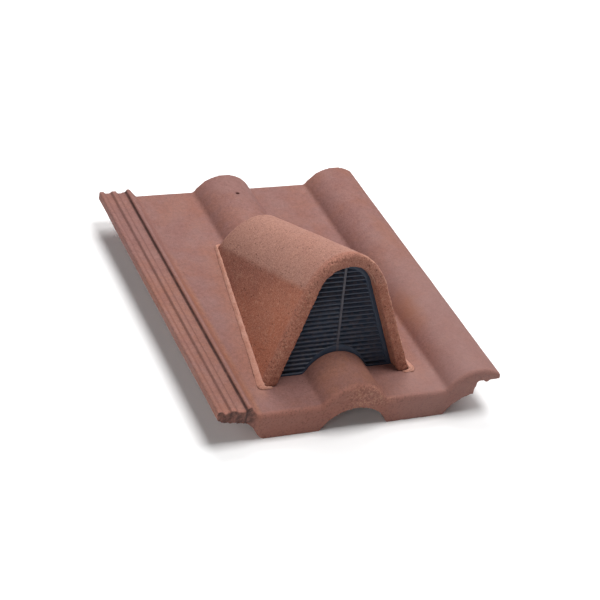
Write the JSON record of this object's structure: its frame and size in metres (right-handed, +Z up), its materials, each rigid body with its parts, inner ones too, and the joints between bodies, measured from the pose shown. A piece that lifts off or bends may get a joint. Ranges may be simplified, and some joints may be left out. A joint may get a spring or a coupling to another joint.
{
  "type": "roof vent tile",
  "caption": "Double-roll concrete interlocking roof tile with a hollow ventilation hood, a louvre grille in its mouth and a bead of bonding mortar.",
  "frame": {"origin": "middle of the tile's plan rectangle, at the level of the underside of the nose and the nibs it lies on", "axes": "+X across the tile from the side lock to the overlap flange, +Y up the slope from the nose to the head, +Z up out of the pans"},
  "size_m": [0.334, 0.42, 0.1767],
  "materials": {
    "tile_concrete": "through-coloured concrete with a smooth weathered mauve-brown face",
    "hood_concrete": "sandy, granular red-brown concrete",
    "bonding_mortar": "pale salmon mortar, matt",
    "grille_plastic": "blue-black moulded plastic with a soft sheen"
  },
  "bodies": {
    "root": {"vent_tile": "tile_concrete", "vent_hood": "hood_concrete", "mortar_bead": "bonding_mortar", "louvre_grille": "grille_plastic"}
  },
  "joints": []
}
